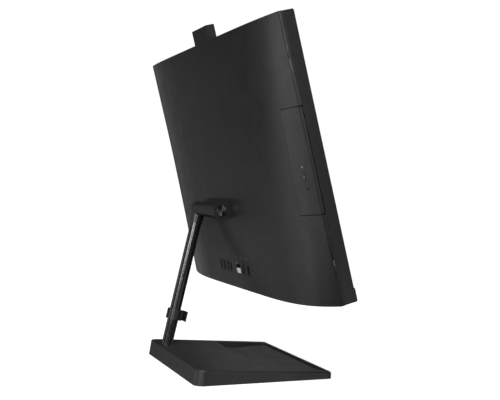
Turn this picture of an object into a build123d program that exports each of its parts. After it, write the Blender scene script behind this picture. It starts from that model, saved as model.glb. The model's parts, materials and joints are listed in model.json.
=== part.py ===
from build123d import *
import math
import os

# All-in-one desktop computer: a screen head with a bulged back, tilting on a single-pole stand.
# World frame: origin at the centre of the base footprint on the table, +Z up, the screen faces -Y.
# Head frame: origin at the middle of the screen's bottom front edge, x to the right,
# y towards the back and z up along the head, tilted back by HEAD_TILT.

# ---- Driving dimensions, millimetres and degrees ----
HEAD_WIDTH = 541.0
HEAD_HEIGHT = 343.0
HEAD_TILT = 15.0
HEAD_FRONT_Y = -50.0
HEAD_BOTTOM_Z = 123.0
FRAME_DEPTH = 15.0
BULGE_BOTTOM = 48.8
BULGE_TOP = 28.4
BULGE_EDGE = 18.5
BULGE_POWER = 5.5
EDGE_ROUND = 2.2
EDGE_WALL = 1.0
CORNER_RADIUS = 3.2
WALL = 2.2
SEAM = 0.25

SCREEN_LIP = 5.5
CHIN_TOP = 40.0
GRILLE_HEIGHT = 17.0
GRILLE_PROUD = 1.4
GRILLE_ROUND = 3.2

BASE_WIDTH = 241.0
BASE_DEPTH = 190.6
BASE_REAR_TOP = 21.2
BASE_FRONT_TOP = 9.2
BASE_REAR_DRAFT = 3.2
BASE_CORNER = 13.0
BASE_FRONT_CORNER = 5.5
BASE_LIFT = 0.4
BASE_WALL = 2.4
TRAY_HALF = 107.5
TRAY_REAR = -9.3
TRAY_FRONT = -90.0
TRAY_FLOOR = 7.3
PLATE_BOTTOM = 1.6
PLATE_TOP = 4.6

HINGE_Y = 54.6
HINGE_Z = 114.0
BARREL_RADIUS = 10.5
BARREL_NEAR = -16.6
BARREL_FAR = 89.0
ARM_RADIUS = 12.4
ARM_OUTER = -25.0
ARM_INNER = -17.0
BRACKET_FAR = 57.0
SHAFT_RADIUS = 5.0
RUNNING_FIT = 0.05

POLE_X = 76.0
POLE_LEAN = 12.8
POLE_RADIUS = 8.0
POLE_BORE = 6.0
FLANGE_TOP = 9.4
CLIP_HEIGHT = 14.8
CLIP_Z = 63.8

DRIVE_MID = 172.4
DRIVE_EDGE = -234.0
TRAY_Y0 = 16.6
TRAY_Y1 = 23.6
DISC_X = -165.0

WEBCAM_HALF = 30.8
WEBCAM_Y0 = 7.9
WEBCAM_Y1 = 20.0
WEBCAM_RAISED = 21.9
WEBCAM_INSIDE = 24.0

# Rear sockets: middle, size across and up
SOCKET_Z = 29.4
SOCKET_BACK = 32.1
SOCKET_RECESS = 0.9
USB_XS = (53.2, 39.4, 24.4, 12.6)
USB_SIZE = (6.6, 14.4)
USB_MOUTH = (5.3, 13.0)
LAN_X = -17.5
LAN_SIZE = (15.0, 14.6)
LAN_MOUTH = (12.0, 8.6)
LAN_LIFT = 1.2
HDMI_X = -38.2
HDMI_SIZE = (6.6, 15.6)
HDMI_MOUTH = (5.0, 14.2)
POWER_X = -56.4
POWER_SIZE = (7.2, 13.4)
POWER_MOUTH = (5.2, 11.4)
SOCKET_DEPTH = 9.5
FLAP_WIDTH = 14.2
FLAP_LOW = 22.4
FLAP_HIGH = 29.5
FLAP_THICK = 0.9

POWER_BUTTON_X = 246.0
POWER_BUTTON_Y = 8.6
POWER_BUTTON_SIZE = (13.0, 5.0)

# Inside the head
SPEAKER_MID = 178.0
CHASSIS_Y0 = 8.0
CHASSIS_Y1 = 9.0
BOARD_Y0 = 13.5
BOARD_Y1 = 15.1
CPU_X = 28.0
CPU_Z = 165.0
PIPE_RADIUS = 3.0
PIPE_Y = 24.0
FINS_X = 94.0
FINS_Z = 296.0
FINS_WIDTH = 53.0
FAN_X = 131.5
FAN_Z = 242.0
FAN_RADIUS = 31.0
FAN_Y0 = 10.5
FAN_Y1 = 22.5
BRIDGE_Y0 = 35.2
BRIDGE_Y1 = 37.2
PACK_END = 8.0
CAP_SEAT = 1.5

# Optical drive
BEZEL_Y0 = 16.0
BEZEL_CORNER = 2.2
BEZEL_HALF = 62.4
BUTTON_X = -254.6
BUTTON_Z = 154.8
LED_X = -254.0
LED_Z = 166.4
PINHOLE_X = -257.0
PINHOLE_Z = 139.8
HUB_HOLE = 11.4
ROD_SPREAD = 9.0

HALF = HEAD_WIDTH / 2
HEAD_FRAME = Location((0, HEAD_FRONT_Y, HEAD_BOTTOM_Z), (-HEAD_TILT, 0, 0))

# Screw places: (x, z) on the head, (x, y) on the base
BRACKET_SCREWS = [(x, z) for x in (-6.0, 44.0) for z in (HINGE_Z - 8, HINGE_Z + 8)]
BOARD_POSTS = [(x, z) for x in (-64.0, 84.0) for z in (66.0, 229.0)]
PORT_POSTS = [(x, z) for x in (-62.0, 58.0) for z in (16.0, 44.0)]
BOSSES = [(x, y) for x in (-106.0, 106.0) for y in (3.0, 78.0)]
BOLTS = [(POLE_X + dx, y) for dx in (-15.0, 15.0) for y in (58.0, 80.0)]


# ---- Helpers ----
def box(x0, x1, y0, y1, z0, z1):
    centre = Pos((x0 + x1) / 2, (y0 + y1) / 2, (z0 + z1) / 2)
    return centre * Box(x1 - x0, y1 - y0, z1 - z0)


def rod_x(y, z, radius, x0, x1):
    return Pos((x0 + x1) / 2, y, z) * Rot(0, 90, 0) * Cylinder(radius, x1 - x0)


def rod_y(x, z, radius, y0, y1):
    return Pos(x, (y0 + y1) / 2, z) * Rot(90, 0, 0) * Cylinder(radius, y1 - y0)


def rod_z(x, y, radius, z0, z1):
    return Pos(x, y, (z0 + z1) / 2) * Cylinder(radius, z1 - z0)


def slab_y(width, height, radius, y0, y1, x=0.0, z=0.0):
    """A plate with rounded corners in the x-z plane, from y0 to y1."""
    outline = Plane.XZ * RectangleRounded(width, height, radius)
    return Pos(x, y0, z) * extrude(outline, amount=-(y1 - y0))


def slab_z(width, depth, radius, z0, z1, x=0.0, y=0.0):
    """A plate with rounded corners in the x-y plane, from z0 to z1."""
    return Pos(x, y, z0) * extrude(RectangleRounded(width, depth, radius), amount=z1 - z0)


def oval_y(width, height, y0, y1, x, z):
    """A plate with fully round ends in the x-z plane, from y0 to y1."""
    radius = min(width, height) / 2 - 0.01
    return slab_y(width, height, radius, y0, y1, x, z)


def group(pieces):
    return Compound(children=[solid for piece in pieces for solid in piece.solids()])


def save(name, shape):
    export_step(shape, f"parts/{name}.step")


def save_head(name, shape):
    save(name, HEAD_FRAME * shape)


# ---- The head's bulged back ----
def bulge_depth(z):
    return BULGE_BOTTOM + (BULGE_TOP - BULGE_BOTTOM) * z / HEAD_HEIGHT


def back_y(x, z):
    """Depth of the outer back surface at a place on the head."""
    depth = bulge_depth(z)
    return depth - (depth - BULGE_EDGE) * (abs(x) / HALF) ** BULGE_POWER


def back_slope(x, z):
    """How that depth changes with x."""
    fall = (bulge_depth(z) - BULGE_EDGE) * BULGE_POWER / HALF
    return -math.copysign(fall * (abs(x) / HALF) ** (BULGE_POWER - 1), x)


def bulge_section(z, inset, floor):
    """One horizontal slice of the bulge: a crown between side walls, its outer edges rounded."""
    half = HALF - inset * 1.25
    crown = half if inset else half - EDGE_ROUND
    shoulder = back_y(crown, z) - inset
    wall_top = shoulder if inset else FRAME_DEPTH + EDGE_WALL
    slope = back_slope(crown, z)
    ends = (-crown, -HALF / 2, HALF / 2, crown)
    steps = 5
    edges = []
    if not inset:
        edges.append(Spline((-half, wall_top), (-crown, shoulder), tangents=[(0, 1), (1, -slope)]))
    for start, end in zip(ends, ends[1:]):
        places = [start + (end - start) * i / steps for i in range(steps + 1)]
        points = [(x, back_y(x, z) - inset) for x in places]
        slopes = [(1, back_slope(start, z)), (1, back_slope(end, z))]
        edges.append(Spline(*points, tangents=slopes))
    if not inset:
        edges.append(Spline((crown, shoulder), (half, wall_top), tangents=[(1, slope), (0, -1)]))
    edges.append(Polyline((half, wall_top), (half, floor), (-half, floor), (-half, wall_top)))
    return Pos(0, 0, z) * make_face(edges)


def bulge_body(inset, floor):
    """The bulge as a solid, shrunk by inset on every side."""
    low = bulge_section(inset, inset, floor)
    high = bulge_section(HEAD_HEIGHT - inset, inset, floor)
    return loft([low, high], ruled=True)


def outer_bulge():
    prism = slab_y(HEAD_WIDTH + 2, HEAD_HEIGHT, CORNER_RADIUS, 5, 60, z=HEAD_HEIGHT / 2)
    return bulge_body(0.0, FRAME_DEPTH) & prism


def drive_opening():
    reach = BEZEL_HALF + 0.8
    return box(-HALF - 2, DRIVE_EDGE + 0.4, 14, 45, DRIVE_MID - reach, DRIVE_MID + reach)


def socket_places():
    places = [(x, USB_SIZE) for x in USB_XS]
    places += [(LAN_X, LAN_SIZE), (HDMI_X, HDMI_SIZE), (POWER_X, POWER_SIZE)]
    return places


def vent_slots():
    """Slots through the bottom and top walls, with the webcam's place left free."""
    slots = []
    for i in range(-14, 15):
        slots.append(box(i * 8 - 1.5, i * 8 + 1.5, 24, 40, -1, WALL + 1))
    for i in range(-24, 25):
        if abs(i) < 6:
            continue
        slots.append(box(i * 8 - 1.5, i * 8 + 1.5, 18, 23, HEAD_HEIGHT - WALL - 1, HEAD_HEIGHT + 1))
    return slots


def rear_cover():
    cover = outer_bulge() - bulge_body(WALL, FRAME_DEPTH - 2.0)
    cover -= drive_opening()
    cover -= vent_slots()
    slot_half = WEBCAM_HALF + 0.4
    cover -= box(-slot_half, slot_half, 0, WEBCAM_Y1 + 0.4, HEAD_HEIGHT - 10, HEAD_HEIGHT + 5)
    for x, z in BRACKET_SCREWS:
        cover -= rod_y(x, z, 4.8, 30, 60)
    for x, (width, height) in socket_places():
        cover -= slab_y(width + 0.5, height + 0.5, 0.8, 40, 60, x, SOCKET_Z)
    return cover


def side_frame():
    """The ring around the screen: a thin lip in front and a wall round the edge."""
    mid = HEAD_HEIGHT / 2
    rear = FRAME_DEPTH - SEAM
    ring = slab_y(HEAD_WIDTH, HEAD_HEIGHT, CORNER_RADIUS, 0, rear, z=mid)
    ring = fillet(ring.edges().group_by(Axis.Y)[-1], 0.5)
    ring = fillet(ring.edges().group_by(Axis.Y)[0], 0.7)
    inner = slab_y(HEAD_WIDTH - 2 * WALL, HEAD_HEIGHT - 2 * WALL, CORNER_RADIUS - WALL, 1.2, 20, z=mid)
    window_top = HEAD_HEIGHT - SCREEN_LIP
    ring -= inner
    ring -= box(-HALF + SCREEN_LIP, HALF - SCREEN_LIP, -1, 5, GRILLE_HEIGHT, window_top)
    ring -= box(-HALF - 1, HALF + 1, -1, 2.3, -1, GRILLE_HEIGHT + 0.2)
    slot_half = WEBCAM_HALF + 0.4
    ring -= box(-slot_half, slot_half, WEBCAM_Y0 - 0.4, 20, HEAD_HEIGHT - 10, HEAD_HEIGHT + 5)
    return ring - oval_z(POWER_BUTTON_SIZE[0] + 0.6, POWER_BUTTON_SIZE[1] + 0.6, -1, 5)


def oval_z(width, depth, z0, z1):
    radius = min(width, depth) / 2 - 0.01
    return slab_z(width, depth, radius, z0, z1, POWER_BUTTON_X, POWER_BUTTON_Y)


def power_button():
    """Pressed upwards into the bottom edge; the flange inside keeps it from falling out."""
    width, depth = POWER_BUTTON_SIZE
    stem = oval_z(width, depth, -0.6, WALL + 0.3)
    flange = oval_z(width + 3, depth + 2, WALL + 0.3, WALL + 1.5)
    return stem + flange


def power_switch():
    x, y = POWER_BUTTON_X, POWER_BUTTON_Y
    body = box(x - 3, x + 3, y - 3, y + 3, WALL + 2.6, WALL + 6.0)
    board = box(x - 9, x + 9, y - 3.5, y + 3.5, WALL + 6.0, WALL + 7.2)
    return body + board


# ---- Screen and front ----
def display_panel():
    low = CHIN_TOP - 2
    high = HEAD_HEIGHT - WALL - 0.6
    return slab_y(HEAD_WIDTH - 2 * WALL - 1.2, high - low, 3.4, 1.3, 2.7, z=(low + high) / 2)


def backlight_unit():
    low = CHIN_TOP - 4
    high = HEAD_HEIGHT - WALL - 0.8
    return slab_y(HEAD_WIDTH - 2 * WALL - 1.6, high - low, 3.4, 2.8, 7.0, z=(low + high) / 2)


def chin_panel():
    half = HALF - SCREEN_LIP - 0.2
    front = box(-half, half, 0.0, 1.2, GRILLE_HEIGHT + 0.3, CHIN_TOP)
    return front + box(-half, half, 1.2, 2.4, GRILLE_HEIGHT + 0.3, CHIN_TOP - 2.3)


def speaker_grille():
    """The strip along the bottom of the front, standing a little proud, slotted at each speaker."""
    strip = slab_y(HEAD_WIDTH, GRILLE_HEIGHT, 2.5, -GRILLE_PROUD, 2.1, z=GRILLE_HEIGHT / 2)
    strip = fillet(strip.edges().group_by(Axis.Y)[0], 0.8)
    profile = Pos(2 - GRILLE_PROUD, 10) * Rectangle(4, 20)
    low_front = profile.vertices().sort_by_distance((-GRILLE_PROUD, 0))[0]
    profile = fillet(low_front, GRILLE_ROUND)
    strip &= Pos(-HALF, 0, 0) * extrude(Plane.YZ * profile, amount=HEAD_WIDTH)
    slots = []
    for side in (-1, 1):
        for i in range(16):
            x = side * (SPEAKER_MID - 37.5 + 5 * i)
            slots.append(oval_y(2.0, 9.0, -5, 5, x, GRILLE_HEIGHT / 2))
    return strip - slots


def speakers():
    boxes = []
    for side in (-1, 1):
        x = side * SPEAKER_MID
        case = box(x - 45, x + 45, 10.5, 26, 5, 34)
        cone = rod_y(x, 17, 10, 8, 10.5)
        boxes.append(case + cone)
    return group(boxes)


# ---- Frame and electronics inside the head ----

def chassis_plate():
    plate = slab_y(522, 300, 4, CHASSIS_Y0, CHASSIS_Y1, z=188)
    slot_half = WEBCAM_HALF + 5
    plate -= box(-slot_half, slot_half, 0, 20, 290, 345)
    plate -= box(58, 82, 0, 20, 58, 68)
    holes = [rod_y(x, z, 20, 0, 20) for x in (-225, -175, -125, 225) for z in (85, 260)]
    return plate - holes


def board_standoffs():
    posts = [rod_y(x, z, 3, CHASSIS_Y1, BOARD_Y0) for x, z in BOARD_POSTS]
    posts += [rod_y(x, z, 3, CHASSIS_Y1, 30.4) for x, z in PORT_POSTS]
    return group(posts)


def motherboard():
    board = slab_y(160, 175, 3, BOARD_Y0, BOARD_Y1, 10, 147.5)
    return board - [rod_y(x, z, 1.6, 10, 20) for x, z in BOARD_POSTS]


def board_parts():
    """Coils, capacitors and the board's sockets."""
    face = BOARD_Y1
    pieces = [box(60, 71, face, 21, 140 + 14 * i, 151 + 14 * i) for i in range(4)]
    pieces += [rod_y(79, 140 + 12 * i, 4, face, 24) for i in range(5)]
    pieces.append(box(-64, 9, face, 19.8, 97.2, 99.6))
    pieces.append(box(-64, 9, face, 19.8, 131.2, 133.6))
    pieces.append(box(19, 24, face, 18.2, 204, 228))
    pieces.append(rod_y(76, 92, 10, face, 18.3))
    return group(pieces)


def memory_modules():
    return group([box(-62, 7, 16.2, 19.2, z, z + 30) for z in (67, 101)])


def solid_state_drive():
    return box(-61, 19, 16.2, 18.4, 205, 227)


def wireless_card():
    return box(34, 64, BOARD_Y1, 17.6, 205, 227)


def processor():
    return box(CPU_X - 18, CPU_X + 18, BOARD_Y1, 19.0, CPU_Z - 18, CPU_Z + 18)


def heat_spreader():
    return slab_y(56, 56, 4, 19.0, 21.0, CPU_X, CPU_Z)


def heat_pipe():
    """From the processor up to the fins, with its corners bent round."""
    corners = [(CPU_X, CPU_Z - 22), (CPU_X, 235), (80, FINS_Z), (150, FINS_Z)]
    route = FilletPolyline(*[(x, PIPE_Y, z) for x, z in corners], radius=25)
    start = Plane(origin=route @ 0, z_dir=route % 0)
    return sweep(start * Circle(PIPE_RADIUS), path=route)


def heat_fins():
    low = FINS_Z - 12
    high = FINS_Z + 12
    body = box(FINS_X, FINS_X + FINS_WIDTH, 10.2, 11, low, high)
    for i in range(14):
        x = FINS_X + 4 * i
        body += box(x, x + 1, 11, PIPE_Y - PIPE_RADIUS, low, high)
    return body


def blower_housing():
    """A scroll that blows up through the fins, with an eye on each side."""
    case = slab_y(78, 78, 10, FAN_Y0, FAN_Y1, FAN_X, FAN_Z)
    case -= rod_y(FAN_X, FAN_Z, FAN_RADIUS + 3, FAN_Y0 + 1, FAN_Y1 - 1)
    case -= box(FAN_X - 28, FAN_X + 34, FAN_Y0 + 1, FAN_Y1 - 1, FAN_Z + 5, FAN_Z + 60)
    case -= rod_y(FAN_X, FAN_Z, 22, FAN_Y1 - 2, FAN_Y1 + 2)
    return case + rod_y(FAN_X, FAN_Z, 2.0, FAN_Y0 + 0.5, FAN_Y1 - 4.2)


def fan_rotor():
    y0 = FAN_Y0 + 1.6
    y1 = FAN_Y1 - 1.6
    hub = rod_y(FAN_X, FAN_Z, 12, y0, y1)
    rotor = hub + rod_y(FAN_X, FAN_Z, FAN_RADIUS - 1, y0, y0 + 0.8)
    blades = 23
    for i in range(blades):
        blade = box(10, FAN_RADIUS, y0, y1 - 0.5, -0.5, 0.5)
        rotor += Pos(FAN_X, 0, FAN_Z) * Rot(0, 360 / blades * i, 0) * blade
    return rotor - fan_bore()


def fan_bore():
    return rod_y(FAN_X, FAN_Z, 2.0 + RUNNING_FIT, 0, FAN_Y1 - 4)


def hard_drive():
    return slab_y(100, 70, 2, 12, 19, 190, 112)


def hard_drive_caddy():
    tray = box(136, 244, 9.2, 10.2, 74, 150)
    sides = [box(137, 243, 10.2, 19, 74, 76), box(137, 243, 10.2, 19, 148, 150)]
    pads = [box(150, 230, 10.2, 12, 90 + 36 * i, 98 + 36 * i) for i in range(2)]
    return tray + sides + pads


def display_ribbon():
    flat = box(60, 80, 7.3, 7.8, 40, 64)
    return flat + box(60, 80, 7.3, 13.5, 63.5, 64)


def port_board():
    board = slab_y(130, 40, 2, 30.4, 32.0, -2, 30)
    return board - [rod_y(x, z, 1.6, 25, 40) for x, z in PORT_POSTS]


def socket_shell(x, size, mouth, lift=0.0):
    """A metal or plastic shell on the port board, open to the back, with a cavity."""
    face = back_y(x, SOCKET_Z) - SOCKET_RECESS
    shell = slab_y(size[0], size[1], 0.6, SOCKET_BACK, face, x, SOCKET_Z)
    hollow = slab_y(mouth[0], mouth[1], 0.4, face - SOCKET_DEPTH, face + 2, x, SOCKET_Z + lift)
    return shell - hollow


def usb_sockets():
    """Four upright sockets, each with a short tongue deep inside."""
    sockets = []
    for x in USB_XS:
        deep = back_y(x, SOCKET_Z) - SOCKET_RECESS - SOCKET_DEPTH
        tongue = box(x - 1, x + 1, deep - 0.5, deep + 1.4, SOCKET_Z - 5.5, SOCKET_Z + 5.5)
        sockets.append(socket_shell(x, USB_SIZE, USB_MOUTH) + tongue)
    return group(sockets)


def network_socket():
    """Low in front it makes room for the flap that drops open for a plug."""
    shell = socket_shell(LAN_X, LAN_SIZE, LAN_MOUTH, LAN_LIFT)
    face = back_y(LAN_X, SOCKET_Z)
    return shell - box(LAN_X - 8, LAN_X + 8, face - 1.7, face + 2, SOCKET_Z - 8, FLAP_HIGH + 0.4)


def network_flap():
    """Level with the cover, over the socket's lower half; it turns on its bottom edge."""
    outside = back_y(LAN_X, (FLAP_LOW + FLAP_HIGH) / 2) - 0.1
    half = FLAP_WIDTH / 2
    flap = box(LAN_X - half, LAN_X + half, outside - FLAP_THICK, outside, FLAP_LOW, FLAP_HIGH)
    flap = fillet(flap.edges().filter_by(Axis.X).group_by(Axis.Z)[0], 0.3)
    return fillet(flap.edges().filter_by(Axis.Y).group_by(Axis.Z)[-1], 0.6)


def hdmi_socket():
    return socket_shell(HDMI_X, HDMI_SIZE, HDMI_MOUTH)


def power_inlet():
    return socket_shell(POWER_X, POWER_SIZE, POWER_MOUTH)


# ---- Tilt hinge ----
def hinge_bridge():
    """Steel bridge over the main board, from the chassis to the bracket's posts."""
    low = HINGE_Z - 17
    high = HINGE_Z + 17
    bridge = box(-86, 126, BRIDGE_Y0, BRIDGE_Y1, low, high)
    bridge += box(-86, -84, CHASSIS_Y1, BRIDGE_Y0, low, high)
    bridge += box(124, 126, CHASSIS_Y1, BRIDGE_Y0, low, high)
    bridge += box(-84, -76, CHASSIS_Y1, CHASSIS_Y1 + 2, low, high)
    bridge += box(116, 124, CHASSIS_Y1, CHASSIS_Y1 + 2, low, high)
    return bridge - [rod_y(x, z, 2.3, 30, 40) for x, z in BRACKET_SCREWS]


def hinge_bracket():
    """A ribbed block on the head's back with one round arm that carries the hinge shaft."""
    low = HINGE_Z - ARM_RADIUS
    high = HINGE_Z + ARM_RADIUS
    foot_low = (bulge_depth(low) + 0.05, low)
    foot_high = (bulge_depth(high) + 0.05, high)
    arm_side = Polyline(foot_high, foot_low, (HINGE_Y, low))
    arm_round = ThreePointArc((HINGE_Y, low), (HINGE_Y + ARM_RADIUS, HINGE_Z), (HINGE_Y, high))
    arm_top = Line((HINGE_Y, high), foot_high)
    arm = extrude(Plane.YZ * make_face([arm_side, arm_round, arm_top]), amount=ARM_INNER - ARM_OUTER)
    hollow = BARREL_RADIUS + 0.5
    lip = HINGE_Y - 3.0
    reach = math.sqrt(hollow ** 2 - 3.0 ** 2)
    block_low = Polyline((lip, HINGE_Z - reach), (lip, low), foot_low, foot_high, (lip, high))
    block_top = Line((lip, high), (lip, HINGE_Z + reach))
    trough = ThreePointArc((lip, HINGE_Z + reach), (HINGE_Y - hollow, HINGE_Z), (lip, HINGE_Z - reach))
    length = BRACKET_FAR - ARM_INNER
    block = extrude(Plane.YZ * make_face([block_low, block_top, trough]), amount=length)
    bracket = Pos(ARM_OUTER, 0, 0) * arm + Pos(ARM_INNER, 0, 0) * block
    clear = rod_x(HINGE_Y, HINGE_Z, hollow, ARM_INNER, BRACKET_FAR + 1)
    for x, z in BRACKET_SCREWS:
        bracket += rod_y(x, z, 4.2, BRIDGE_Y1, 46.0) - clear
    bracket -= [rod_y(x, z, 2.0, 30, 43) for x, z in BRACKET_SCREWS]
    bracket -= rod_x(HINGE_Y, HINGE_Z, SHAFT_RADIUS, ARM_OUTER - 5, ARM_INNER + 5)
    return bracket - rod_x(HINGE_Y, HINGE_Z, 7.8, ARM_OUTER - 5, ARM_OUTER + CAP_SEAT)


def bracket_screws():
    screws = []
    for x, z in BRACKET_SCREWS:
        head = rod_y(x, z, 3.6, BRIDGE_Y0 - 2.4, BRIDGE_Y0)
        screws.append(head + rod_y(x, z, 2.0, BRIDGE_Y0, 42.5))
    return group(screws)


def hinge_shaft():
    return rod_x(HINGE_Y, HINGE_Z, SHAFT_RADIUS, ARM_OUTER + CAP_SEAT, 60)


def hinge_cap():
    cap = rod_x(HINGE_Y, HINGE_Z, 7.6, ARM_OUTER - 0.8, ARM_OUTER + CAP_SEAT)
    return chamfer(cap.edges().group_by(Axis.X)[0], 0.4)


def friction_washers():
    """Dished washers squeezed on the shaft between the arm and the nut."""
    washers = []
    for i in range(5):
        x0 = BARREL_NEAR + 1.5 + 3 * i
        ring = rod_x(HINGE_Y, HINGE_Z, 8.0, x0, x0 + 2.6)
        washers.append(ring - rod_x(HINGE_Y, HINGE_Z, SHAFT_RADIUS, x0 - 1, x0 + 4))
    return group(washers)


def hinge_nut():
    x0 = BARREL_NEAR + 16.8
    plane = Plane(origin=(x0, HINGE_Y, HINGE_Z), x_dir=(0, 1, 0), z_dir=(1, 0, 0))
    nut = extrude(plane * RegularPolygon(7.8, 6), amount=6)
    return nut - rod_x(HINGE_Y, HINGE_Z, SHAFT_RADIUS, x0 - 1, x0 + 7)


# ---- Webcam ----
def webcam_housing():
    half = WEBCAM_HALF
    low = HEAD_HEIGHT - WEBCAM_INSIDE
    high = HEAD_HEIGHT + WEBCAM_RAISED
    body = box(-half, half, WEBCAM_Y0, WEBCAM_Y1, low, high)
    body = fillet(body.edges().group_by(Axis.Z)[-1], 0.8)
    body -= slab_y(2 * half - 8, 14, 2, WEBCAM_Y0 - 1, WEBCAM_Y0 + 1.2, z=high - 10.5)
    body -= rod_y(0, high - 10.5, 4.2, WEBCAM_Y0, WEBCAM_Y0 + 7)
    feet = [box(-half - 2.6, -half, WEBCAM_Y0 + 2, WEBCAM_Y1 - 2, low, low + 2)]
    feet.append(box(half, half + 2.6, WEBCAM_Y0 + 2, WEBCAM_Y1 - 2, low, low + 2))
    return body + feet


def webcam_window():
    z = HEAD_HEIGHT + WEBCAM_RAISED - 10.5
    return slab_y(2 * WEBCAM_HALF - 8.4, 13.6, 1.8, WEBCAM_Y0 + 0.1, WEBCAM_Y0 + 1.2, z=z)


def webcam_lens():
    z = HEAD_HEIGHT + WEBCAM_RAISED - 10.5
    barrel = rod_y(0, z, 4.0, WEBCAM_Y0 + 1.2, WEBCAM_Y0 + 6.8)
    return barrel - rod_y(0, z, 2.4, WEBCAM_Y0, WEBCAM_Y0 + 3)


def webcam_guides():
    """Two channels that the webcam's side feet run in, each with a stop at the top."""
    rails = []
    for side in (-1, 1):
        inner = side * (WEBCAM_HALF + 0.5)
        outer = side * (WEBCAM_HALF + 4.5)
        wall = box(min(inner, outer), max(inner, outer), WEBCAM_Y0, WEBCAM_Y1, 294, 340)
        groove_end = side * (WEBCAM_HALF + 3.0)
        x0 = min(side * WEBCAM_HALF, groove_end)
        x1 = max(side * WEBCAM_HALF, groove_end)
        top = HEAD_HEIGHT - WEBCAM_INSIDE + 2.4
        rails.append(wall - box(x0, x1, WEBCAM_Y0 + 1.6, WEBCAM_Y1 - 1.6, 290, top))
    return group(rails)


# ---- Optical drive ----

def bezel_plane(x, z):
    """A plane on the bezel's outer surface, its normal pointing out of the surface."""
    step = 0.5
    slope = (back_y(x + step, z) - back_y(x - step, z)) / (2 * step)
    return Plane(origin=(x, back_y(x, z), z), x_dir=(0, 0, 1), z_dir=(-slope, 1, 0))


def bezel_plug(x, z, length, width, low, high):
    """A small oval standing through the bezel's skin, from low to high along the normal."""
    outline = RectangleRounded(length, width, min(length, width) / 2 - 0.01)
    return extrude(bezel_plane(x, z).offset(low) * outline, amount=high - low)


def drive_bezel():
    half = BEZEL_HALF
    low = DRIVE_MID - half
    high = DRIVE_MID + half
    block = box(-HALF - 1, DRIVE_EDGE, BEZEL_Y0, 45, low, high)
    block = fillet(block.edges().filter_by(Axis.X).group_by(Axis.Y)[0], BEZEL_CORNER)
    skin = outer_bulge() & block
    inside = box(-HALF, DRIVE_EDGE - 2, BEZEL_Y0 + 2, 45, low + 2, high - 2)
    bezel = skin - (bulge_body(WALL, FRAME_DEPTH - 2.0) & inside)
    bezel -= bezel_plug(BUTTON_X, BUTTON_Z, 12.0, 4.2, -8, 3)
    bezel -= bezel_plug(LED_X, LED_Z, 2.0, 1.9, -8, 3)
    return bezel - bezel_plug(PINHOLE_X, PINHOLE_Z, 1.8, 3.0, -8, 3)


def eject_button():
    cap = bezel_plug(BUTTON_X, BUTTON_Z, 11.0, 3.2, -3.2, 0.3)
    flange = bezel_plug(BUTTON_X, BUTTON_Z, 13.0, 4.6, -4.2, -3.2)
    return cap + flange


def drive_led():
    return bezel_plug(LED_X, LED_Z, 1.9, 1.8, -3, 0.05)


def disc_tray():
    """A plate with a round pocket for a 120 mm disc, walled round its edge."""
    half = 59.9
    z0 = DRIVE_MID - half
    z1 = DRIVE_MID + half
    tray = box(DRIVE_EDGE, -96, TRAY_Y0, TRAY_Y1, z0, z1)
    tray -= box(DRIVE_EDGE + 1.6, -97.6, TRAY_Y0 + 3.2, TRAY_Y1 + 1, z0 + 1.6, z1 - 1.6)
    tray -= rod_y(DISC_X, DRIVE_MID, 60.6, TRAY_Y0 - 1, TRAY_Y0 + 1.8)
    tray -= rod_y(DISC_X, DRIVE_MID, HUB_HOLE, TRAY_Y0 - 1, TRAY_Y1 + 1)
    window = box(DISC_X + 14, DISC_X + 58, TRAY_Y0 - 1, TRAY_Y1 + 1, DRIVE_MID - 12, DRIVE_MID + 12)
    return tray - window


def spindle_motor():
    can = rod_y(DISC_X, DRIVE_MID, 11.0, TRAY_Y0 + 2.4, TRAY_Y1 - 0.4)
    can -= rod_y(DISC_X, DRIVE_MID, 1.5 + RUNNING_FIT, TRAY_Y0, TRAY_Y1 - 1.2)
    lugs = box(DISC_X - 14, DISC_X + 13, TRAY_Y0 + 3.2, TRAY_Y0 + 4.2, DRIVE_MID - 3, DRIVE_MID + 3)
    return can + (lugs - rod_y(DISC_X, DRIVE_MID, 10.9, TRAY_Y0, TRAY_Y1))


def disc_spindle():
    plate = rod_y(DISC_X, DRIVE_MID, 10.6, TRAY_Y0 + 1.0, TRAY_Y0 + 2.1)
    hub = rod_y(DISC_X, DRIVE_MID, 7.4, TRAY_Y0 - 0.1, TRAY_Y0 + 1.0)
    return plate + hub + rod_y(DISC_X, DRIVE_MID, 1.5, TRAY_Y0 + 2.1, TRAY_Y1 - 1.5)


def sled_rods():
    heights = (DRIVE_MID - ROD_SPREAD, DRIVE_MID + ROD_SPREAD)
    return group([rod_x(TRAY_Y0 + 5, z, 1.0, DISC_X + 14, DISC_X + 58) for z in heights])


def laser_sled():
    """Carries the lens along the two rods, towards and away from the disc's centre."""
    x0 = DISC_X + 20
    sled = box(x0, x0 + 16, TRAY_Y0 + 2.6, TRAY_Y1 - 0.2, DRIVE_MID - 11, DRIVE_MID + 11)
    sled += rod_y(x0 + 6, DRIVE_MID, 3.2, TRAY_Y0 + 2.2, TRAY_Y0 + 2.6)
    for z in (DRIVE_MID - ROD_SPREAD, DRIVE_MID + ROD_SPREAD):
        sled -= rod_x(TRAY_Y0 + 5, z, 1.0 + RUNNING_FIT, x0 - 1, x0 + 20)
    return sled


def drive_housing():
    """Folded sheet case, open towards the side of the head."""
    outer = box(-214, -88.5, 15.7, 24.6, DRIVE_MID - 63.4, DRIVE_MID + 63.4)
    return outer - box(-220, -89.3, 16.3, 24.0, DRIVE_MID - 62.7, DRIVE_MID + 62.7)


def drive_rails():
    rails = []
    for side in (-1, 1):
        z = DRIVE_MID + side * 61.3
        rails.append(box(-212, -94, 17.2, 22.8, z - 1.0, z + 1.0))
    return group(rails)


# ---- Stand ----
def base_top(y):
    """Height of the base's sloping top at a place from front to back."""
    run = BASE_DEPTH - BASE_REAR_DRAFT
    return BASE_FRONT_TOP + (BASE_REAR_TOP - BASE_FRONT_TOP) * (y + BASE_DEPTH / 2) / run


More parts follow.
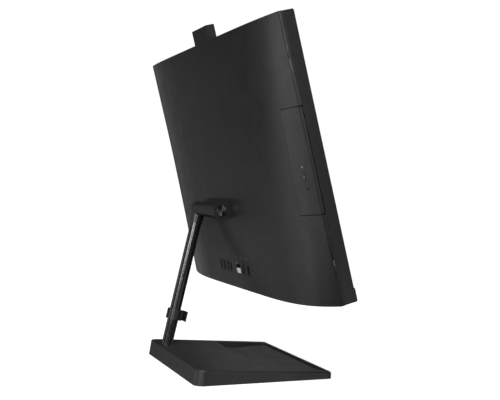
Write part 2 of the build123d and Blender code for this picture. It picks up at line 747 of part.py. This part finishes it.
def upright_edges(wedge, half, side):
    """The wedge's upright corner edges behind its middle, or in front of it."""
    found = [e for e in wedge.edges() if abs(abs(e.center().X) - half) < 0.01 and e.length < 30]
    found = [e for e in found if abs((e @ 1 - e @ 0).Z) > 0.9 * e.length]
    return [e for e in found if e.center().Y * side > 0]


def base_wedge(inset, bottom, rounding):
    """The base's wedge, shrunk by inset, with round upright corners."""
    front = -BASE_DEPTH / 2 + inset
    rear = BASE_DEPTH / 2 - inset
    top_rear = rear - BASE_REAR_DRAFT
    side = [(front, bottom), (rear, bottom), (top_rear, base_top(top_rear) - inset)]
    side.append((front, base_top(front) - inset))
    profile = Plane.YZ * make_face(Polyline(*side, close=True))
    half = BASE_WIDTH / 2 - inset
    wedge = extrude(profile, amount=half, both=True)
    wedge = fillet(upright_edges(wedge, half, 1), BASE_CORNER - inset)
    wedge = fillet(upright_edges(wedge, half, -1), BASE_FRONT_CORNER - inset)
    if rounding:
        top = [f for f in wedge.faces() if f.normal_at().Z > 0.95]
        wedge = fillet(top[0].edges(), rounding)
    return wedge


def base_shell():
    outer = base_wedge(0.0, BASE_LIFT, 1.6)
    cavity = base_wedge(BASE_WALL, BASE_LIFT - 2, 0.0)
    width = 2 * TRAY_HALF
    depth = TRAY_REAR - TRAY_FRONT
    mid = (TRAY_REAR + TRAY_FRONT) / 2
    step = slab_z(width + 5, depth + 5, 6, 5.0, 30, y=mid)
    recess = slab_z(width, depth, 4, TRAY_FLOOR, 30, y=mid)
    shell = outer - (cavity - step) - recess
    for x, y in BOSSES:
        shell += rod_z(x, y, 4.5, PLATE_TOP, base_top(y) - BASE_WALL + 0.5)
        shell -= rod_z(x, y, 1.5, 0, PLATE_TOP + 6)
    return shell - pole_solid(POLE_RADIUS + 0.15, 240)


def pole_frame():
    """On the hinge axis at the pole, with its own -Z running down along the pole."""
    hinge = HEAD_FRAME * Pos(POLE_X, HINGE_Y, HINGE_Z)
    return Location((POLE_X, hinge.position.Y, hinge.position.Z), (POLE_LEAN, 0, 0))


def pole_solid(radius, length, start=0.0):
    """A rod along the pole's line, its top end at start below the hinge axis."""
    return pole_frame() * Pos(0, 0, -start - length / 2) * Cylinder(radius, length)


def pole():
    tube = pole_solid(POLE_RADIUS, 240, 14) - pole_solid(POLE_BORE, 260, 10)
    return tube - box(-200, 200, -200, 200, -60, FLANGE_TOP)


def pole_flange():
    """Steel foot on the base plate, with a leaning spigot inside the pole."""
    plate = slab_z(44, 37, 4, PLATE_TOP, FLANGE_TOP, POLE_X, 70.5)
    spigot = pole_solid(POLE_BORE - 0.05, 240, 150) & box(-200, 200, -200, 200, FLANGE_TOP, 40)
    return plate + spigot - [rod_z(x, y, 2.0, 0, 30) for x, y in BOLTS]


def base_plate():
    inset = BASE_WALL + 0.4
    depth = BASE_DEPTH - 2 * inset - 1.4
    plate = slab_z(BASE_WIDTH - 2 * inset, depth, 10, PLATE_BOTTOM, PLATE_TOP, y=-0.7)
    plate -= [rod_z(x, y, 2.0, 0, 10) for x, y in BOLTS]
    plate -= [rod_z(x, y, 3.7, 0, PLATE_BOTTOM + 1.5) for x, y in BOLTS + BOSSES]
    return plate - [rod_z(x, y, 1.5, 0, 10) for x, y in BOSSES]


def base_fasteners():
    """Bolts up into the pole's foot, and screws up into the shell's bosses."""
    head_top = PLATE_BOTTOM + 1.5
    pieces = []
    for x, y in BOLTS:
        pieces.append(rod_z(x, y, 3.6, 0.9, head_top) + rod_z(x, y, 2.0, 2.0, FLANGE_TOP + 0.6))
    for x, y in BOSSES:
        pieces.append(rod_z(x, y, 3.6, 0.9, head_top) + rod_z(x, y, 1.5, 2.0, PLATE_TOP + 5.5))
    return group(pieces)


def base_feet():
    places = [(-102.0, -80.0), (102.0, -80.0), (-88.0, 84.0), (40.0, 84.0)]
    places.append((0.0, -84.0))
    return group([rod_z(x, y, 6.0, 0, PLATE_BOTTOM) for x, y in places])


def hinge_barrel():
    """The pole's top: a level barrel with a rounded far end and a short neck over the pole."""
    near = BARREL_NEAR - POLE_X
    barrel = rod_x(0, 0, BARREL_RADIUS, near, BARREL_FAR - POLE_X)
    barrel = fillet(barrel.edges().group_by(Axis.X)[-1], 5.0)
    barrel += Pos(0, 0, -11) * Cone(8.7, BARREL_RADIUS - 0.6, 22)
    barrel -= rod_x(0, 0, SHAFT_RADIUS + RUNNING_FIT, near - 1, 62 - POLE_X)
    barrel -= rod_x(0, 0, 8.3, near - 1, PACK_END - POLE_X)
    barrel -= Pos(0, 0, -24) * Cylinder(POLE_RADIUS, 20)
    return pole_frame() * barrel


def cable_clip():
    """Snap ring round the pole with a square hook in front, open to the side."""
    height = CLIP_HEIGHT
    ring = Cylinder(11.0, height) + Pos(0, -13.2, 0) * Box(15.0, 9.4, height)
    ring -= Cylinder(POLE_RADIUS + RUNNING_FIT, height + 2)
    ring -= Pos(-3.0, -13.2, 0) * Box(15.0, 6.4, height + 2)
    ring -= Pos(-4, 10, 0) * Box(9.0, 14, height + 2)
    hinge = pole_frame()
    along = (hinge.position.Z - CLIP_Z) / math.cos(math.radians(POLE_LEAN))
    return hinge * Pos(0, 0, -along) * ring


HEAD_PIECES = {
    "rear_cover": rear_cover,
    "side_frame": side_frame,
    "display_panel": display_panel,
    "backlight_unit": backlight_unit,
    "chin_panel": chin_panel,
    "speaker_grille": speaker_grille,
    "speakers": speakers,
    "chassis_plate": chassis_plate,
    "board_standoffs": board_standoffs,
    "motherboard": motherboard,
    "board_parts": board_parts,
    "memory_modules": memory_modules,
    "solid_state_drive": solid_state_drive,
    "wireless_card": wireless_card,
    "processor": processor,
    "heat_spreader": heat_spreader,
    "heat_pipe": heat_pipe,
    "heat_fins": heat_fins,
    "blower_housing": blower_housing,
    "fan_rotor": fan_rotor,
    "hard_drive": hard_drive,
    "hard_drive_caddy": hard_drive_caddy,
    "display_ribbon": display_ribbon,
    "port_board": port_board,
    "usb_sockets": usb_sockets,
    "network_socket": network_socket,
    "network_flap": network_flap,
    "hdmi_socket": hdmi_socket,
    "power_inlet": power_inlet,
    "hinge_bridge": hinge_bridge,
    "hinge_bracket": hinge_bracket,
    "bracket_screws": bracket_screws,
    "hinge_shaft": hinge_shaft,
    "hinge_cap": hinge_cap,
    "friction_washers": friction_washers,
    "hinge_nut": hinge_nut,
    "power_button": power_button,
    "power_switch": power_switch,
    "webcam_housing": webcam_housing,
    "webcam_window": webcam_window,
    "webcam_lens": webcam_lens,
    "webcam_guides": webcam_guides,
    "drive_housing": drive_housing,
    "drive_rails": drive_rails,
    "drive_bezel": drive_bezel,
    "disc_tray": disc_tray,
    "spindle_motor": spindle_motor,
    "disc_spindle": disc_spindle,
    "sled_rods": sled_rods,
    "laser_sled": laser_sled,
    "eject_button": eject_button,
    "drive_led": drive_led,
}

STAND_PIECES = {
    "base_shell": base_shell,
    "base_plate": base_plate,
    "base_fasteners": base_fasteners,
    "base_feet": base_feet,
    "pole": pole,
    "pole_flange": pole_flange,
    "hinge_barrel": hinge_barrel,
    "cable_clip": cable_clip,
}

os.makedirs("parts", exist_ok=True)
for name, make in HEAD_PIECES.items():
    save_head(name, make())
for name, make in STAND_PIECES.items():
    save(name, make())
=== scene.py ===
import json
import math

import bmesh
import bpy
from mathutils import Matrix, Vector
from mathutils.bvhtree import BVHTree


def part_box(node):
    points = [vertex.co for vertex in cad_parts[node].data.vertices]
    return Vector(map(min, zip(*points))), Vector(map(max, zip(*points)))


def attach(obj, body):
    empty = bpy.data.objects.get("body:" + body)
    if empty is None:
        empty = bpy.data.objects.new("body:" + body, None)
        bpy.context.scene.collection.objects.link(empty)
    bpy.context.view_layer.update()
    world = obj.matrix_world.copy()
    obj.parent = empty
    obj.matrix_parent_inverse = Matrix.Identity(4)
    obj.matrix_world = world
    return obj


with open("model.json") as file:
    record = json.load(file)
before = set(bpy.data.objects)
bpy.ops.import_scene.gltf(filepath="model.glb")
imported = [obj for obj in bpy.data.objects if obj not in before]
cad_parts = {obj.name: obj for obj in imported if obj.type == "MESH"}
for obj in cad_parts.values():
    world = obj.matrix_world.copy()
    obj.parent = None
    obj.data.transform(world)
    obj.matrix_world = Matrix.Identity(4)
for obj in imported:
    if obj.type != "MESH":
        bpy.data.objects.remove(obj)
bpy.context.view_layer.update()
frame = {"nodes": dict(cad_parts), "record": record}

MM = 0.001
HEAD_TILT = math.radians(15.0)

# The head's own axes in the world: across, towards its back, and up along its height.
ACROSS = Vector((1, 0, 0))
BACKWARD = Vector((0, math.cos(HEAD_TILT), -math.sin(HEAD_TILT)))
UPWARD = Vector((0, math.sin(HEAD_TILT), math.cos(HEAD_TILT)))
PRINT_LIFT = 0.05 * MM

# Printed signs stand this far above the middle of their socket.
SIGN_RISE = 15.6 * MM

# The network socket's lamp, from the middle of its flap, and its size.
LAMP_ASIDE = 5.1 * MM
LAMP_RISE = 9.9 * MM
LAMP_RADIUS = 0.9 * MM
LAMP_LENGTH = 0.8 * MM

# The painted highlight on the eject button, a light dot, from the button's middle, and its size.
DOT_DROP = 0.8 * MM
DOT_RADIUS = 0.75 * MM
DOT_LENGTH = 0.25 * MM


# ---- Materials ----
class Finish:
    """A material under construction: its node tree and its shader."""

    def __init__(self, name, colour, roughness, metallic=0.0, specular=0.5):
        self.material = bpy.data.materials.new(name)
        self.material.use_nodes = True
        self.tree = self.material.node_tree
        self.shader = self.tree.nodes["Principled BSDF"]
        self.put(self.shader, "Base Color", (*colour, 1))
        self.put(self.shader, "Roughness", roughness)
        self.put(self.shader, "Metallic", metallic)
        self.put(self.shader, "Specular IOR Level", specular)
        self.colour = colour
        self.roughness = roughness

    def put(self, node, socket, value):
        node.inputs[socket].default_value = value

    def node(self, kind, **inputs):
        made = self.tree.nodes.new(kind)
        for name, value in inputs.items():
            self.put(made, name.replace("_", " "), value)
        return made

    def link(self, a, out, b, into):
        self.tree.links.new(a.outputs[out], b.inputs[into])

    def place(self):
        return self.node("ShaderNodeTexCoord")

    def noise(self, size, detail=2.0, stretch=None):
        """Noise whose features measure about size, in metres; stretch scales it along x, y and z."""
        noise = self.node("ShaderNodeTexNoise", Scale=1 / size, Detail=detail)
        place = self.place()
        if stretch is None:
            self.link(place, "Object", noise, "Vector")
            return noise
        mapping = self.node("ShaderNodeMapping")
        mapping.inputs["Scale"].default_value = stretch
        self.link(place, "Object", mapping, "Vector")
        self.link(mapping, "Vector", noise, "Vector")
        return noise

    def span(self, source, low, high, start=0.3, end=0.7):
        ranged = self.node("ShaderNodeMapRange")
        ranged.inputs["From Min"].default_value = start
        ranged.inputs["From Max"].default_value = end
        ranged.inputs["To Min"].default_value = low
        ranged.inputs["To Max"].default_value = high
        self.tree.links.new(source, ranged.inputs["Value"])
        return ranged

    def uneven_gloss(self, size, spread):
        noise = self.noise(size)
        ranged = self.span(noise.outputs["Fac"], self.roughness - spread, self.roughness + spread)
        self.link(ranged, "Result", self.shader, "Roughness")
        return self

    def uneven_colour(self, size, share):
        """The colour drifts by a share of itself, over patches of this size."""
        noise = self.noise(size, 3.0)
        mix = self.node("ShaderNodeMix")
        mix.data_type = "RGBA"
        low = [c * (1 - share) for c in self.colour]
        high = [c * (1 + share) for c in self.colour]
        mix.inputs["A"].default_value = (*low, 1)
        mix.inputs["B"].default_value = (*high, 1)
        ranged = self.span(noise.outputs["Fac"], 0.0, 1.0)
        self.link(ranged, "Result", mix, "Factor")
        colour_out = [s for s in mix.outputs if s.type == "RGBA"][0]
        self.tree.links.new(colour_out, self.shader.inputs["Base Color"])
        return self

    def grain(self, size, height, stretch=None, strength=1.0):
        """A moulded or brushed surface: bumps of this size and height, in metres."""
        noise = self.noise(size, 2.0, stretch)
        bump = self.node("ShaderNodeBump", Strength=strength, Distance=height)
        self.link(noise, "Fac", bump, "Height")
        self.link(bump, "Normal", self.shader, "Normal")
        return self


def moulded(name, colour, roughness, grain=0.0004, height=0.00002, specular=0.5):
    """Moulded plastic: spark-eroded grain, with gloss and colour that vary a little."""
    finish = Finish(name, colour, roughness, specular=specular)
    finish.uneven_gloss(0.02, 0.03).uneven_colour(0.015, 0.08)
    return finish.grain(grain, height).material


def painted(name, colour, roughness, specular=0.5):
    finish = Finish(name, colour, roughness, specular=specular)
    finish.uneven_gloss(0.006, 0.04).uneven_colour(0.01, 0.06)
    return finish.grain(0.0006, 0.000015).material


def rolled(name, colour, roughness, stretch=(1, 1, 12)):
    """Sheet or turned metal with fine lines left by its making."""
    finish = Finish(name, colour, roughness, metallic=1.0)
    finish.uneven_gloss(0.004, 0.06).uneven_colour(0.008, 0.07)
    return finish.grain(0.0008, 0.000008, stretch).material


def grey(level):
    return (level, level, level)


def cover_plastic():
    return moulded("cover_plastic", grey(0.014), 0.34)


def frame_plastic():
    return moulded("frame_plastic", grey(0.013), 0.38)


def chin_plastic():
    return moulded("chin_plastic", grey(0.02), 0.32, height=0.000008)


def grille_plastic():
    return moulded("grille_plastic", grey(0.018), 0.5)


def base_plastic():
    return moulded("base_plastic", grey(0.02), 0.42, grain=0.0006, height=0.00003)


def clip_plastic():
    return moulded("clip_plastic", grey(0.02), 0.4)


def tray_plastic():
    return moulded("tray_plastic", grey(0.018), 0.34)


def button_plastic():
    return moulded("button_plastic", grey(0.02), 0.4)


def fan_plastic():
    return moulded("fan_plastic", grey(0.02), 0.4)


def foot_rubber():
    return moulded("foot_rubber", grey(0.03), 0.8, grain=0.001, height=0.00004, specular=0.3)


def hinge_paint():
    return painted("hinge_paint", grey(0.016), 0.38)


def pole_paint():
    return painted("pole_paint", grey(0.014), 0.2)


def socket_plastic():
    return moulded("socket_plastic", grey(0.008), 0.4)


def socket_metal():
    return rolled("socket_metal", grey(0.3), 0.35)


def flap_metal():
    # Painted highlight: the flap's near-white colour stands in for the bright glint off the socket's metal.
    finish = Finish("flap_metal", grey(0.92), 0.35, metallic=0.2)
    finish.uneven_gloss(0.004, 0.05).uneven_colour(0.008, 0.04)
    return finish.grain(0.0008, 0.000008).material


def screen_glass():
    finish = Finish("screen_glass", grey(0.006), 0.12)
    return finish.uneven_gloss(0.05, 0.01).uneven_colour(0.05, 0.05).grain(0.0004, 0.000002).material


def lens_glass():
    finish = Finish("lens_glass", (0.004, 0.004, 0.006), 0.06)
    return finish.uneven_gloss(0.004, 0.01).uneven_colour(0.003, 0.1).material


def panel_metal():
    return rolled("panel_metal", grey(0.5), 0.4)


def steel_sheet():
    return rolled("steel_sheet", grey(0.45), 0.4)


def drive_metal():
    return rolled("drive_metal", grey(0.5), 0.35)


def fin_metal():
    return rolled("fin_metal", grey(0.6), 0.3)


def hinge_steel():
    return rolled("hinge_steel", grey(0.35), 0.3)


def weight_steel():
    return rolled("weight_steel", grey(0.12), 0.5)


def copper():
    return rolled("copper", (0.75, 0.32, 0.18), 0.3)


def cap_metal():
    finish = Finish("cap_metal", grey(0.2), 0.3, metallic=1.0)
    finish.put(finish.shader, "Anisotropic", 0.95)
    tangent = finish.node("ShaderNodeTangent")
    tangent.direction_type = "RADIAL"
    tangent.axis = "X"
    finish.link(tangent, "Tangent", finish.shader, "Tangent")
    return finish.uneven_colour(0.002, 0.05).material


def board_green():
    finish = Finish("board_green", (0.01, 0.07, 0.03), 0.45)
    return finish.uneven_gloss(0.004, 0.06).uneven_colour(0.003, 0.3).grain(0.0012, 0.00004).material


def chip_black():
    return moulded("chip_black", grey(0.015), 0.5)


def led_clear():
    finish = Finish("led_clear", (0.35, 0.36, 0.35), 0.25)
    return finish.uneven_gloss(0.001, 0.05).uneven_colour(0.001, 0.1).material


def ribbon_film():
    return moulded("ribbon_film", (0.45, 0.2, 0.04), 0.35)


FINISHES = [
    cover_plastic, frame_plastic, chin_plastic, grille_plastic, base_plastic, clip_plastic,
    tray_plastic, button_plastic, fan_plastic, foot_rubber, hinge_paint, pole_paint,
    socket_plastic, socket_metal, flap_metal, screen_glass, lens_glass, panel_metal, steel_sheet,
    drive_metal, fin_metal, hinge_steel, weight_steel, copper, cap_metal, board_green,
    chip_black, led_clear, ribbon_film,
]


def dress(frame):
    """Gives every CAD node the finish of its slot in the record."""
    finishes = {make.__name__: make() for make in FINISHES}
    slots = {part["node"]: part["material_slot"] for part in frame["record"]["subparts"]}
    for name, node in frame["nodes"].items():
        node.data.materials.clear()
        node.data.materials.append(finishes[slots[name]])
    return finishes


finishes = dress(frame)


# ---- Small printed and clear pieces ----
def skin(name):
    """Rays cast on this tree meet the surface of a CAD node."""
    return BVHTree.FromObject(frame["nodes"][name], bpy.context.evaluated_depsgraph_get())


def onto(tree, point, outward=BACKWARD):
    """The place on the surface straight in from a point, and the surface's normal there."""
    hit, normal, _, _ = tree.ray_cast(point + outward * 0.05, -outward)
    return hit, normal


def new_piece(name, body, finish, mesh):
    for polygon in mesh.polygons:
        polygon.use_smooth = False
    mesh.materials.append(finish)
    piece = bpy.data.objects.new(name, mesh)
    bpy.context.scene.collection.objects.link(piece)
    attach(piece, body)
    return piece


def disc(u, v, radius, count=14):
    turns = [2 * math.pi * i / count for i in range(count)]
    return [(u + radius * math.cos(t), v + radius * math.sin(t)) for t in turns]


def bar(u, v, width, height):
    w = width / 2
    h = height / 2
    return [(u - w, v - h), (u + w, v - h), (u + w, v + h), (u - w, v + h)]


def hoop(u, v, radius, thick, count=14):
    """A ring as short bars side by side, each a quadrilateral."""
    inner = disc(u, v, radius - thick, count)
    outer = disc(u, v, radius, count)
    return [[inner[i - 1], outer[i - 1], outer[i], inner[i]] for i in range(count)]


def serial_mark():
    stem = bar(0, 0, 0.3, 2.4)
    arrow = [(-0.5, 0.9), (0.5, 0.9), (0, 1.8)]
    return [disc(0, -1.3, 0.5), stem, arrow, disc(0.9, 0.3, 0.35)]


def network_mark():
    boxes = [bar(0, 0.9, 1.0, 0.8), bar(-1.1, -0.9, 1.0, 0.8), bar(1.1, -0.9, 1.0, 0.8)]
    return boxes + [bar(0, 0.25, 0.25, 0.6), bar(0, -0.1, 2.4, 0.25)]


def display_mark():
    level_bars = [bar(0, v, 3.0, 0.3) for v in (1.0, -0.7)]
    upright_bars = [bar(u, 0.15, 0.3, 1.6) for u in (-1.35, 1.35)]
    foot = bar(0, -1.4, 1.6, 0.3)
    return level_bars + upright_bars + [foot]


def supply_mark():
    return hoop(0, 0, 1.3, 0.3) + [disc(0, 0, 0.5)]


def print_on(name, tree, centre, outlines, body, finish):
    """Thin ink on a surface: each outline, in millimetres across and up, laid on it."""
    mesh = bmesh.new()
    for outline in outlines:
        rows = []
        for lift in (-PRINT_LIFT, PRINT_LIFT):
            row = []
            for u, v in outline:
                hit, normal = onto(tree, centre + ACROSS * u * MM + UPWARD * v * MM)
                row.append(mesh.verts.new(hit + normal * lift))
            rows.append(row)
        mesh.faces.new(rows[1])
        mesh.faces.new(rows[0][::-1])
        for i in range(len(outline)):
            mesh.faces.new((rows[0][i - 1], rows[0][i], rows[1][i], rows[1][i - 1]))
    bmesh.ops.recalc_face_normals(mesh, faces=mesh.faces)
    data = bpy.data.meshes.new(name)
    mesh.to_mesh(data)
    mesh.free()
    return new_piece(name, body, finish, data)


def opening_middles():
    """Where each stated opening of the record has its middle."""
    middles = {}
    for opening in frame["record"]["physics"]["openings"]:
        low, high = opening["box_m"]
        middles[opening["name"]] = (Vector(low) + Vector(high)) / 2
    return middles


def port_marks():
    """Generic signs above the sockets, between each pair or beside each one."""
    tree = skin("rear_cover")
    mid = opening_middles()
    usb = [mid[f"usb_socket_{i}"] for i in range(1, 5)]
    rise = UPWARD * SIGN_RISE
    places = {
        "mark_usb_a": ((usb[0] + usb[1]) / 2, serial_mark()),
        "mark_usb_b": ((usb[1] + usb[2]) / 2, serial_mark()),
        "mark_usb_c": ((usb[2] + usb[3]) / 2, serial_mark()),
        "mark_network": (mid["network_opening"] + ACROSS * 4 * MM, network_mark()),
        "mark_display": (mid["hdmi_opening"] + ACROSS * 4 * MM, display_mark()),
        "mark_supply": (mid["power_opening"] + ACROSS * 3 * MM, supply_mark()),
    }
    ink = Finish("mark_ink", grey(0.3), 0.6).uneven_colour(0.0005, 0.1).material
    for name, (place, outlines) in places.items():
        print_on(name, tree, place + rise, outlines, "head", ink)


def lamp_lens(name, centre, outward, radius, length, body, finish, rings=4, sides=20):
    """A clear light pipe with a domed end, its flat end at the centre."""
    across = outward.orthogonal().normalized()
    beside = outward.cross(across)
    mesh = bmesh.new()
    profile = [(radius, 0.0), (radius, length * 0.7)]
    for i in range(1, rings):
        angle = math.pi / 2 * i / rings
        profile.append((radius * math.cos(angle), length * (0.7 + 0.3 * math.sin(angle))))
    rows = []
    for r, height in profile:
        turns = [2 * math.pi * i / sides for i in range(sides)]
        row = [centre + outward * height + across * r * math.cos(t) + beside * r * math.sin(t) for t in turns]
        rows.append([mesh.verts.new(place) for place in row])
    tip = mesh.verts.new(centre + outward * length)
    for lower, upper in zip(rows, rows[1:]):
        for i in range(sides):
            mesh.faces.new((lower[i - 1], lower[i], upper[i], upper[i - 1]))
    for i in range(sides):
        mesh.faces.new((rows[-1][i - 1], rows[-1][i], tip))
    mesh.faces.new(rows[0][::-1])
    bmesh.ops.recalc_face_normals(mesh, faces=mesh.faces)
    data = bpy.data.meshes.new(name)
    mesh.to_mesh(data)
    mesh.free()
    return new_piece(name, body, finish, data)


def network_lamp(finishes):
    """The link light in the network socket's upper corner."""
    low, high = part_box("network_flap")
    flap_middle = (low + high) / 2
    centre = flap_middle + ACROSS * LAMP_ASIDE + UPWARD * LAMP_RISE
    hit, _ = onto(skin("network_socket"), centre)
    finish = finishes["led_clear"]
    lamp_lens("network_lamp", hit, BACKWARD, LAMP_RADIUS, LAMP_LENGTH, "head", finish)


def eject_painted_glint(finishes):
    """Painted highlight: a light dot on the eject button, standing in for the glint it shows."""
    low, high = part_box("eject_button")
    centre = (low + high) / 2 - UPWARD * DOT_DROP
    outward = (BACKWARD - ACROSS * 0.35).normalized()
    hit, normal = onto(skin("eject_button"), centre, outward)
    finish = finishes["led_clear"]
    lamp_lens("eject_painted_glint", hit, normal, DOT_RADIUS, DOT_LENGTH, "eject_button", finish)


port_marks()
network_lamp(finishes)
eject_painted_glint(finishes)


# ---- Stage ----
FLOOR_RADIUS = 1.0
FLOOR_SIDES = 96
FLOOR_GLOW = 0.7
STUDIO_WHITE = 1.05


def make_floor():
    """A round table top that glows by itself; it stops no light and puts none on the object."""
    mesh = bpy.data.meshes.new("floor")
    turns = [2 * math.pi * i / FLOOR_SIDES for i in range(FLOOR_SIDES)]
    rim = [(FLOOR_RADIUS * math.cos(t), FLOOR_RADIUS * math.sin(t), 0) for t in turns]
    mesh.from_pydata(rim, [], [tuple(range(FLOOR_SIDES))])
    floor = bpy.data.objects.new("floor", mesh)
    bpy.context.scene.collection.objects.link(floor)
    finish = Finish("floor_white", grey(0.85), 0.9, specular=0.0)
    finish.put(finish.shader, "Emission Color", (1, 1, 1, 1))
    finish.put(finish.shader, "Emission Strength", FLOOR_GLOW)
    floor.data.materials.append(finish.uneven_colour(0.5, 0.005).material)
    floor.visible_glossy = False
    floor.visible_shadow = False
    floor.visible_diffuse = False


def softbox(name, azimuth, distance, height, width, tall, power):
    """A soft panel standing round the object and turned to its middle."""
    turn = math.radians(azimuth)
    place = Vector((distance * math.cos(turn), distance * math.sin(turn), height))
    light = bpy.data.lights.new(name, "AREA")
    light.shape = "RECTANGLE"
    light.size = width
    light.size_y = tall
    light.energy = power
    lamp = bpy.data.objects.new(name, light)
    lamp.location = place
    lamp.rotation_euler = (LAMPS_AIM - place).to_track_quat("-Z", "Y").to_euler()
    lamp.visible_camera = False
    bpy.context.scene.collection.objects.link(lamp)
    return lamp


LAMPS_AIM = Vector((0, 0, 0.25))

# Azimuth in degrees from the user's right, then distance, height, width and tallness in metres,
# and watts. The back faces slightly down, so its highlights come from panels below the table top.
LIGHTS = {
    "strip_46_low": (46, 1.3, -0.22, 0.16, 0.5, 0.28),
    "strip_58": (58, 1.3, 0.26, 0.16, 0.44, 0.9),
    "strip_64_low": (64, 1.3, -0.22, 0.16, 0.5, 0.64),
    "strip_84_low": (84, 1.3, -0.22, 0.16, 0.5, 0.53),
    "rim_4": (4, 1.6, 0.3, 0.28, 0.56, 0.14),
    "rim_4_low": (4, 1.6, -0.3, 0.28, 0.6, 0.33),
    "rim_14": (14, 1.6, 0.3, 0.28, 0.56, 0.11),
    "rim_26_low": (26, 1.6, -0.3, 0.28, 0.6, 0.18),
    "side_205_low": (205, 1.6, -0.4, 0.4, 0.7, 1.6),
    "high_150": (150, 1.6, 1.9, 1.0, 0.8, 28),
    "wide_121": (121, 2.0, 0.68, 0.7, 0.5, 19),
    "shoulder_150": (150, 2.0, 0.5, 0.3, 0.4, 8.5),
    "shoulder_188": (188, 2.0, 0.5, 0.3, 0.4, 2.2),
    "screen_285": (285, 2.2, 1.0, 1.4, 1.0, 25),
    "ramp_335": (335, 2.2, 0.7, 0.5, 0.5, 0.34),
}


def make_world():
    """White past the floor's edge, seen by the camera only."""
    world = bpy.data.worlds.new("studio")
    world.use_nodes = True
    background = world.node_tree.nodes["Background"]
    background.inputs["Color"].default_value = (1, 1, 1, 1)
    background.inputs["Strength"].default_value = STUDIO_WHITE
    world.cycles_visibility.diffuse = False
    world.cycles_visibility.glossy = False
    world.cycles_visibility.transmission = False
    bpy.context.scene.world = world


CAMERA_PLACE = Vector((-1.20156, 0.44471, 0.25488))
CAMERA_YAW = math.radians(21.081)
CAMERA_PITCH = math.radians(0.913)
CAMERA_ROLL = math.radians(1.321)
CAMERA_LENS = 65.27


def make_camera():
    """Level with the head, well round towards the drive's side, rolled a little."""
    yaw = CAMERA_YAW
    pitch = CAMERA_PITCH
    roll = CAMERA_ROLL
    level = Vector((math.cos(yaw), -math.sin(yaw), 0))
    forward = level * math.cos(pitch) - Vector((0, 0, math.sin(pitch)))
    right = forward.cross(Vector((0, 0, 1))).normalized()
    up = right.cross(forward)
    level_right = right * math.cos(roll) + up * math.sin(roll)
    level_up = up * math.cos(roll) - right * math.sin(roll)
    data = bpy.data.cameras.new("camera")
    data.sensor_width = 36.0
    data.lens = CAMERA_LENS
    data.clip_start = 0.05
    camera = bpy.data.objects.new("camera", data)
    turn = Matrix((level_right, level_up, -forward)).transposed()
    camera.matrix_world = Matrix.Translation(CAMERA_PLACE) @ turn.to_4x4()
    bpy.context.scene.collection.objects.link(camera)
    bpy.context.scene.camera = camera


make_floor()
for name, panel in LIGHTS.items():
    softbox(name, *panel)
make_world()
make_camera()
bpy.context.scene.view_settings.view_transform = "Standard"
